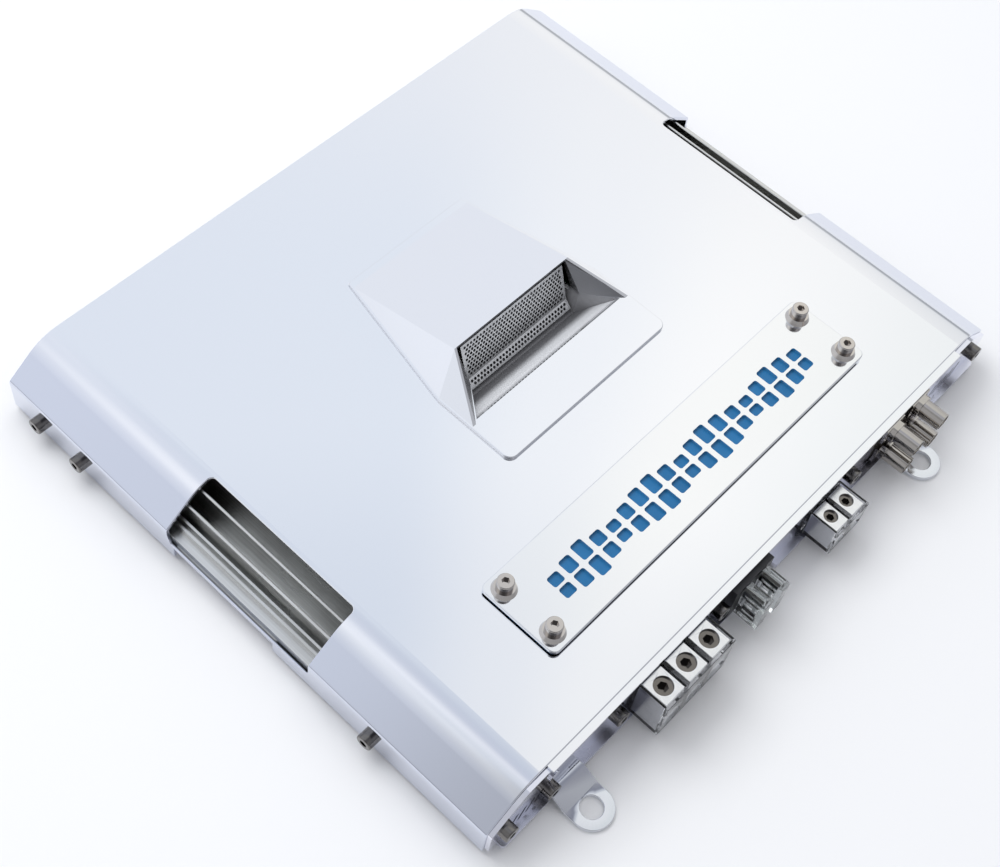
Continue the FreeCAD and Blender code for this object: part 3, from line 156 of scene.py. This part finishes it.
class Graph(Nodes):
    """A material's node tree, with the textures that the materials share."""

    def __init__(self, name):
        self.material = bpy.data.materials.new(name)
        self.material.use_nodes = True
        super().__init__(self.material.node_tree)
        self.shader = self.tree.nodes["Principled BSDF"]

    def place(self):
        """Object coordinates, which are the frame's own metres."""
        return self.add("TexCoord").outputs["Object"]

    def noise(self, scale, detail=3.0, stretch=(1.0, 1.0, 1.0), rotation=(0.0, 0.0, 0.0)):
        """Noise of 'scale' waves to the metre, stretched along some axes."""
        mapping, node = self.add("Mapping"), self.add("TexNoise")
        for socket, value in ((mapping.inputs["Vector"], self.place()),
                              (mapping.inputs["Scale"], stretch),
                              (mapping.inputs["Rotation"], rotation),
                              (node.inputs["Vector"], mapping.outputs["Vector"]),
                              (node.inputs["Scale"], scale),
                              (node.inputs["Detail"], detail)):
            self.feed(socket, value)
        return node.outputs["Fac"]

    def span(self, source, low, high, start=0.3, end=0.7):
        """Map start..end of a value to low..high."""
        node = self.add("MapRange")
        for name, value in (("Value", source), ("From Min", start), ("From Max", end),
                            ("To Min", low), ("To Max", high)):
            self.feed(node.inputs[name], value)
        return node.outputs["Result"]

    def tint(self, source, first, second, start=0.3, end=0.7):
        """Map start..end of a value to colours from first to second."""
        return self.ramp(source, [(start, first), (end, second)])

    def bump(self, source, distance, strength):
        node = self.add("Bump")
        for name, value in (("Height", source), ("Distance", distance), ("Strength", strength)):
            self.feed(node.inputs[name], value)
        return node.outputs["Normal"]

    def hairlines(self):
        """Faint polishing marks."""
        hair = self.noise(260.0, 2.0, (1.0, 12.0, 12.0), (0.0, 0.0, 0.5))
        return self.bump(hair, 0.01 * MM, 0.02)

    def smudges(self, low, high):
        """Roughness that wanders from low to high over some centimetres."""
        return self.span(self.noise(14.0, 4.0), low, high)

    def set(self, **values):
        """Feed the shader's sockets by name, and return the material."""
        for key, value in values.items():
            self.feed(self.shader.inputs[key.replace("_", " ")], value)
        return self.material


# ---- materials: a tone, then the lowest and highest roughness ----------------------------
def polished_metal(name, tone, low, high):
    """Mirror-finish sheet: faint smudges in the roughness and hairline polishing marks."""
    g = Graph(name)
    return g.set(Base_Color=tone, Metallic=1.0, Roughness=g.smudges(low, high),
                 Normal=g.hairlines())


def brushed_metal(name, tone, dark, low, high, along):
    """Metal brushed along one axis: 'along' holds the texture's stretch."""
    g = Graph(name)
    streaks, patches = g.noise(900.0, 3.0, along), g.noise(30.0)
    return g.set(Base_Color=g.tint(streaks, dark, tone), Metallic=1.0,
                 Roughness=g.span(patches, low, high), Normal=g.bump(streaks, 0.03 * MM, 0.35))


def plated_metal(name, tone, low, high):
    """Small plated parts: even tone with mottled gloss."""
    g = Graph(name)
    mottle = g.noise(400.0)
    return g.set(Base_Color=tone, Metallic=1.0, Roughness=g.span(mottle, low, high),
                 Normal=g.bump(mottle, 0.02 * MM, 0.2))


def moulded_plastic(name, tone, rough, grain=1800.0, coat=0.0):
    """Moulded plastic with a fine even texture."""
    g = Graph(name)
    texture, wear = g.noise(grain, 2.0), g.noise(60.0)
    lighter = tuple(min(v * 1.25 + 0.004, 1.0) for v in tone)
    return g.set(Base_Color=g.tint(wear, tone, lighter), Coat_Weight=coat,
                 Roughness=g.span(texture, rough - 0.06, rough + 0.08),
                 Normal=g.bump(texture, 0.04 * MM, 0.3))


def clear_plastic(name, tone, rough, ior=1.5):
    """Clear moulding with slight flow lines."""
    g = Graph(name)
    flow = g.noise(120.0, 2.0, (1.0, 1.0, 3.0))
    return g.set(Base_Color=tone, Transmission_Weight=1.0, IOR=ior,
                 Roughness=g.span(flow, rough, rough + 0.06), Normal=g.bump(flow, 0.12 * MM, 0.35))


POLISH = (0.93, 0.94, 0.965)           # crown and scoop
# painted shade: below the crown the cover turns to this darker, cooler tone, fully at the lower
# height
SHOULDER_PAINTED_SHADE, SHOULDER_SHADE_Z = (0.70, 0.73, 0.82), (27.0 * MM, 31.5 * MM)
# painted reflection: the top of the ramp is this pale, nearly non-metallic colour in place of the
# brightness that polished metal reflects there
RAMP_PAINTED_REFLECTION, RAMP_REFLECTION_Z = (0.84, 0.85, 0.87), (31.5 * MM, 33.3 * MM)
# painted shade: dark colour at the foot of the ramp, down in its recess
RAMP_FOOT_PAINTED_SHADE, RAMP_FOOT_SHADE_Z = (0.20, 0.20, 0.21), (25.5 * MM, 28.5 * MM)
# painted shade: dark colour on the wings' faces that look towards the middle
WING_PAINTED_SHADE, WING_SHADE_INWARD = (0.34, 0.34, 0.35), (-8.0 * MM, -2.0 * MM)


def cover_metal():
    """Mirror polish on the crown; painted shade down the shoulders and skirts, which turn to a
    darker, cooler tone below the crown.
    """
    g = Graph("polished_cover")
    # painted shade mask: 1 low on the shoulders and skirts, 0 up on the crown
    shoulder_shade_mask = g.span(g.split(g.place())["Z"], 1.0, 0.0, *SHOULDER_SHADE_Z)
    return g.set(Base_Color=g.tint(shoulder_shade_mask, POLISH, SHOULDER_PAINTED_SHADE, 0.0, 1.0), Metallic=1.0,
                 Roughness=g.smudges(0.035, 0.075), Normal=g.hairlines())


def scoop_metal():
    """The cover's polish outside; a painted reflection up the ramp, which turns pale and nearly
    non-metallic, and painted shade at its foot and inside the wings.
    """
    g = Graph("scoop_polish_and_painted_light")
    place = g.split(g.place())
    facing = g.split(g.add("NewGeometry").outputs["Normal"])
    # painted reflection mask: 1 at the top of the ramp, where the colour turns pale and the metal
    # nearly non-metallic
    ramp = g.span(place["Z"], 1.0, 0.0, *RAMP_REFLECTION_Z)
    # painted shade mask for the ramp's foot
    foot_shade_mask = g.span(place["Z"], 1.0, 0.0, *RAMP_FOOT_SHADE_Z)
    # x times the normal's x is below zero where a face looks towards the middle; those faces get
    # painted shade
    wing_shade_mask = g.span(g.calc("MULTIPLY", place["X"], facing["X"]), 1.0, 0.0, *WING_SHADE_INWARD)
    # polish, then the painted reflection up the ramp, then painted shade at its foot
    tone = g.mix(foot_shade_mask, g.mix(ramp, POLISH, RAMP_PAINTED_REFLECTION), RAMP_FOOT_PAINTED_SHADE)
    rough = g.span(g.calc("MAXIMUM", ramp, wing_shade_mask), 0.05, 0.42, 0.0, 1.0)
    # painted shade over the wings' inward faces
    return g.set(Base_Color=g.mix(wing_shade_mask, tone, WING_PAINTED_SHADE), Roughness=rough,
                 Metallic=g.span(ramp, 1.0, 0.15, 0.0, 1.0))


def make_materials():
    """One material for each slot of the record."""
    metals = {
        "plate_aluminium": (polished_metal, (0.92, 0.93, 0.94), 0.05, 0.09),
        "base_steel": (polished_metal, (0.80, 0.81, 0.90), 0.22, 0.32),
        "panel_steel": (polished_metal, (0.84, 0.85, 0.93), 0.08, 0.14),
        "bright_screw": (polished_metal, (0.62, 0.58, 0.54), 0.05, 0.10),
        "foot_steel": (polished_metal, (0.80, 0.82, 0.86), 0.06, 0.14),
        "fin_aluminium": (brushed_metal, (0.80, 0.80, 0.78), (0.62, 0.62, 0.60), 0.24, 0.38,
                          (1.0, 0.02, 1.0)),
        "black_screw": (plated_metal, (0.20, 0.19, 0.18), 0.12, 0.22),
        "zinc_steel": (plated_metal, (0.60, 0.60, 0.58), 0.25, 0.4),
        "mesh_steel": (plated_metal, (0.74, 0.74, 0.74), 0.3, 0.45),
        "plated_brass": (plated_metal, (0.52, 0.49, 0.455), 0.06, 0.14),
        "fuse_zinc": (plated_metal, (0.70, 0.71, 0.72), 0.25, 0.38),
        "copper": (plated_metal, (0.72, 0.33, 0.14), 0.22, 0.36),
    }
    plastics = {
        "blue_acrylic": (moulded_plastic, (0.0, 0.125, 0.31), 0.35, 300.0),
        "black_plastic": (moulded_plastic, (0.018, 0.018, 0.02), 0.42),
        "white_plastic": (moulded_plastic, (0.75, 0.75, 0.72), 0.38),
        "board_green": (moulded_plastic, (0.015, 0.11, 0.05), 0.3, 500.0, 0.3),
        "ferrite": (moulded_plastic, (0.03, 0.03, 0.033), 0.55, 900.0),
        "can_sleeve": (moulded_plastic, (0.012, 0.02, 0.09), 0.24, 600.0, 0.3),
        "chip_black": (moulded_plastic, (0.02, 0.02, 0.022), 0.5),
        "smoke_plastic": (clear_plastic, (0.88, 0.89, 0.91), 0.04, 1.4),
        "fuse_plastic": (clear_plastic, (0.86, 0.89, 0.89), 0.08),
        "led_red": (clear_plastic, (0.85, 0.05, 0.03), 0.05),
    }
    table = {slot: make(slot, *values) for slot, (make, *values) in {**metals, **plastics}.items()}
    return {"polished_cover": cover_metal(), **table}


# ---- CAD nodes ---------------------------------------------------------------------------
EDGE_WIDTHS = {"power_terminal_housing": 0.3, "speaker_terminal_housing": 0.3,
               "power_terminal_blocks": 0.2, "speaker_terminal_blocks": 0.2,
               "fuse_holder": 0.25, "fuse_body_1": 0.25, "fuse_body_2": 0.25,
               "rca_block": 0.3, "remote_port": 0.2, "switch_bodies": 0.2, "transformer_core": 0.4,
               "foot_front_left": 0.25, "foot_front_right": 0.25,
               "foot_rear_left": 0.25, "foot_rear_right": 0.25}
EDGE_ANGLE = math.radians(38.0)


def soften(node, width):
    """Round the outer edges a little and shade the flats flat."""
    weld = node.modifiers.new("weld", "WELD")
    weld.merge_threshold = 1e-6
    bevel = node.modifiers.new("bevel", "BEVEL")
    bevel.width, bevel.segments = width * MM, 2
    bevel.limit_method, bevel.angle_limit = "ANGLE", EDGE_ANGLE
    node.modifiers.new("normals", "WEIGHTED_NORMAL")


def dress_nodes(materials):
    """Give every CAD node its slot's material or its own finish; bevel the small moulded parts."""
    slots = {part["node"]: part["material_slot"] for part in frame["record"]["subparts"]}
    blocks = plated_metal("block_plating", (0.90, 0.90, 0.90), 0.16, 0.26)
    sockets = plated_metal("socket_steel", (0.19, 0.175, 0.16), 0.10, 0.20)
    finish = {"scoop_housing": scoop_metal(), "power_terminal_blocks": blocks,
              "speaker_terminal_blocks": blocks}
    finish.update({name: sockets for name in NODES if "set_screw" in name})
    for name, node in NODES.items():
        node.data.materials.clear()
        node.data.materials.append(finish.get(name, materials[slots[name]]))
        if name in EDGE_WIDTHS:
            soften(node, EDGE_WIDTHS[name])


# ---- scoop screen, in millimetres --------------------------------------------------------
(_, MESH_Y0, MESH_Z0), (MESH_HALF, MESH_Y1, MESH_Z1) = box_mm("scoop_mesh")
MESH_SHEET, MESH_FOLD = 0.8, (9.4, 28.2)
SCREEN_LINE = [(MESH_Y1 - MESH_SHEET, MESH_Z1), MESH_FOLD, (MESH_Y0, MESH_Z0)]  # y, z down it
SCREEN_T, SCREEN_RIM = 0.6, 0.5
HOLE_PITCH, HOLE_R, HOLE_SIDES = 1.9, 0.7, 10


def hole_loop(u, v):
    turns = (2 * math.pi * k / HOLE_SIDES for k in range(HOLE_SIDES))
    return [(u + HOLE_R * math.cos(turn), v + HOLE_R * math.sin(turn)) for turn in turns]


def punched_panel(bm, length, place):
    """Fill one flat panel of the screen, 'length' down the sheet, with staggered round holes."""
    row_step = HOLE_PITCH * math.sqrt(3.0) / 2.0
    rows = int((length - 2 * SCREEN_RIM - 2 * HOLE_R) / row_step) + 1
    first = (length - (rows - 1) * row_step) / 2
    loops = [[(-MESH_HALF, 0), (MESH_HALF, 0), (MESH_HALF, length), (-MESH_HALF, length)]]
    for row in range(rows):
        odd = row % 2
        shift = odd * HOLE_PITCH / 2
        count = int((MESH_HALF - SCREEN_RIM - HOLE_R - shift) / HOLE_PITCH)
        loops += [hole_loop(column * HOLE_PITCH + shift, first + row * row_step)
                  for column in range(-count - odd, count + 1)]
    edges = []
    for loop in loops:
        verts = [bm.verts.new(place(u, v)) for u, v in loop]
        edges += [bm.edges.new((verts[k - 1], verts[k])) for k in range(len(verts))]
    bmesh.ops.triangle_fill(bm, use_beauty=True, edges=edges)


def add_mesh_screen(material):
    """Punched sheet in the scoop's mouth, in two panels with a fold between them."""
    bm = bmesh.new()
    for (y0, z0), (y1, z1) in zip(SCREEN_LINE, SCREEN_LINE[1:]):
        length = math.hypot(y1 - y0, z1 - z0)
        down = Vector((0.0, (y1 - y0) / length, (z1 - z0) / length))
        start = Vector((0.0, y0, z0))
        punched_panel(bm, length, lambda u, v: (start + down * v + Vector((u, 0.0, 0.0))) * MM)
    bmesh.ops.remove_doubles(bm, verts=bm.verts, dist=1e-6)
    bmesh.ops.recalc_face_normals(bm, faces=bm.faces)
    if sum(f.normal.y * f.calc_area() for f in bm.faces) > 0:
        bmesh.ops.reverse_faces(bm, faces=bm.faces)
    screen = add_mesh("scoop_screen", bm, material)
    thick = screen.modifiers.new("sheet", "SOLIDIFY")
    thick.thickness, thick.offset = SCREEN_T * MM, -1.0
    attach(screen, "amplifier")
    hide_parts("scoop_mesh")


# ---- printing round the knobs, in millimetres --------------------------------------------
KNOBS, KNOB_R = ("level_knob", "crossover_knob", "bass_knob"), 5.0
TICKS, TICK_SWEEP = 11, 280.0
TICK_FROM, TICK_TO, TICK_HALF, INK_T = 6.3, 7.6, 0.16, 0.04


def add_knob_ticks(material):
    """Plain graduation marks on the rear panel, with 'ink' a hair thick."""
    panel_y = box_mm("rear_panel")[1][1]
    bm = bmesh.new()
    for knob in KNOBS:
        low, high = box_mm(knob)
        middle = Vector((round((low[0] + high[0]) / 2, 2), panel_y, high[2] - KNOB_R))
        for k in range(TICKS):
            turn = math.radians(90.0 + TICK_SWEEP / 2 - TICK_SWEEP * k / (TICKS - 1))
            along = Vector((math.cos(turn), 0.0, math.sin(turn)))
            aside = Vector((-math.sin(turn), 0.0, math.cos(turn))) * TICK_HALF
            corners = [along * TICK_FROM - aside, along * TICK_TO - aside,
                       along * TICK_TO + aside, along * TICK_FROM + aside]
            bm.faces.new([bm.verts.new((middle + corner) * MM) for corner in corners])
    bmesh.ops.recalc_face_normals(bm, faces=bm.faces)
    if next(iter(bm.faces)).normal.y < 0:
        bmesh.ops.reverse_faces(bm, faces=bm.faces)
    ticks = add_mesh("knob_ticks", bm, material)
    thick = ticks.modifiers.new("ink", "SOLIDIFY")
    thick.thickness, thick.offset = INK_T * MM, 1.0
    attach(ticks, "amplifier")


# ---- stage, in metres --------------------------------------------------------------------
FLOOR_HALF, FLOOR_TONE, FLOOR_ROUGH = 6.0, (0.9, 0.9, 0.9), 0.7
LAMPS = [("key", (-0.10, 0.80, 1.25), 0.9, 8.0),       # name, place, size, watts
         ("overhead", (0.05, 0.10, 1.6), 2.6, 12.0)]


def add_floor():
    corners = [(-FLOOR_HALF, -FLOOR_HALF, 0), (FLOOR_HALF, -FLOOR_HALF, 0),
               (FLOOR_HALF, FLOOR_HALF, 0), (-FLOOR_HALF, FLOOR_HALF, 0)]
    mesh = bpy.data.meshes.new("floor")
    mesh.from_pydata(corners, [], [(0, 1, 2, 3)])
    floor = add_object("floor", mesh)
    mesh.materials.append(Graph("floor_paper").set(Base_Color=FLOOR_TONE, Roughness=FLOOR_ROUGH))


def add_lamp(name, place, size, power):
    """Square soft box that looks at the origin and isn't mirrored in the metal."""
    data = bpy.data.lights.new(name, "AREA")
    data.shape, data.size, data.size_y = "RECTANGLE", size, size
    data.energy = power
    lamp = add_object(name, data)
    turn = (-Vector(place)).to_track_quat("-Z", "Y").to_matrix().to_4x4()
    lamp.matrix_world = Matrix.Translation(place) @ turn
    lamp.visible_glossy = False


# Studio brightness. Two bands go by heading from +X in degrees, the rest by the height (sine of
# elevation) or by the cosine of the angle from where the photographer stands.
HIGH_BAND = [(-180.0, (0.58, 0.59, 0.63)), (-145.0, (0.46, 0.47, 0.50)),
             (-90.0, (0.36, 0.36, 0.39)), (-35.0, (0.30, 0.31, 0.36)), (-5.0, (0.72, 0.74, 0.78)),
             (10.0, (0.93, 0.95, 0.94)), (22.0, (1.02, 1.02, 1.01)), (31.0, (0.92, 0.94, 0.97)),
             (42.0, (0.78, 0.83, 0.91)), (70.0, (0.76, 0.81, 0.90)), (110.0, (0.78, 0.82, 0.91)),
             (140.0, (0.98, 1.0, 1.05)), (155.0, (0.84, 0.87, 0.92)), (170.0, (0.60, 0.61, 0.63)),
             (180.0, (0.58, 0.59, 0.63))]
LOW_BAND = [(-180.0, (0.50, 0.51, 0.54)), (-150.0, (0.50, 0.51, 0.54)),
            (-100.0, (0.48, 0.49, 0.52)), (-60.0, (0.44, 0.45, 0.48)), (-30.0, (0.52, 0.53, 0.56)),
            (0.0, (0.74, 0.76, 0.78)), (20.0, (0.95, 0.95, 0.95)), (60.0, (0.80, 0.83, 0.90)),
            (140.0, (0.86, 0.89, 0.96)), (158.0, (0.78, 0.81, 0.87)), (172.0, (0.54, 0.55, 0.58)),
            (180.0, (0.50, 0.51, 0.54))]
NONE, FULL = (0.0, 0.0, 0.0), (1.0, 1.0, 1.0)
BAND_BY_HEIGHT = [(0.0, NONE), (0.66, NONE), (0.80, FULL), (1.0, FULL)]     # low band to high band
DIM_BY_HEIGHT = [(0.0, (0.55, 0.56, 0.58)), (0.08, (0.50, 0.51, 0.53)), (0.20, FULL),
                 (0.84, FULL), (0.91, (0.90, 0.91, 0.93)), (1.0, (0.75, 0.76, 0.80))]
DIM_BY_PHOTOGRAPHER = [(0.0, FULL), (0.87, FULL), (0.95, (0.4, 0.4, 0.42)), (1.0, (0.2, 0.2, 0.21))]


def make_world():
    """Pale studio: cool behind, a white panel beside the set, dimmer low down, overhead and
    where the photographer stands, which is one fixed direction."""
    world = bpy.data.worlds.new("studio")
    bpy.context.scene.world = world
    world.use_nodes = True
    sky = Nodes(world.node_tree)
    direction = sky.add("TexCoord").outputs["Generated"]
    part = sky.split(direction)
    heading = sky.calc("ARCTAN2", part["Y"], part["X"])
    turn = sky.calc("MULTIPLY_ADD", heading, 0.5 / math.pi, 0.5)
    high, low = (sky.ramp(turn, [(0.5 + degrees / 360.0, tone) for degrees, tone in band], "EASE")
                 for band in (HIGH_BAND, LOW_BAND))
    around = sky.mix(sky.ramp(part["Z"], BAND_BY_HEIGHT, "EASE"), low, high)
    by_height = sky.ramp(part["Z"], DIM_BY_HEIGHT, "EASE")
    aim = sky.add("VectorMath", operation="DOT_PRODUCT")
    sky.feed(aim.inputs[0], direction)
    sky.feed(aim.inputs[1], toward(CAMERA_AZIMUTH, CAMERA_ELEVATION))
    by_photographer = sky.ramp(aim.outputs["Value"], DIM_BY_PHOTOGRAPHER, "EASE")
    lit = sky.mix(1.0, sky.mix(1.0, around, by_height, "MULTIPLY"), by_photographer, "MULTIPLY")
    background = world.node_tree.nodes["Background"]
    sky.feed(background.inputs["Color"], lit)
    sky.feed(background.inputs["Strength"], 1.0)


def build():
    make_camera()
    make_world()
    add_floor()
    for lamp in LAMPS:
        add_lamp(*lamp)
    materials = make_materials()
    dress_nodes(materials)
    add_mesh_screen(materials["mesh_steel"])
    add_knob_ticks(materials["black_plastic"])
    bpy.context.scene.view_settings.view_transform = "Standard"


build()
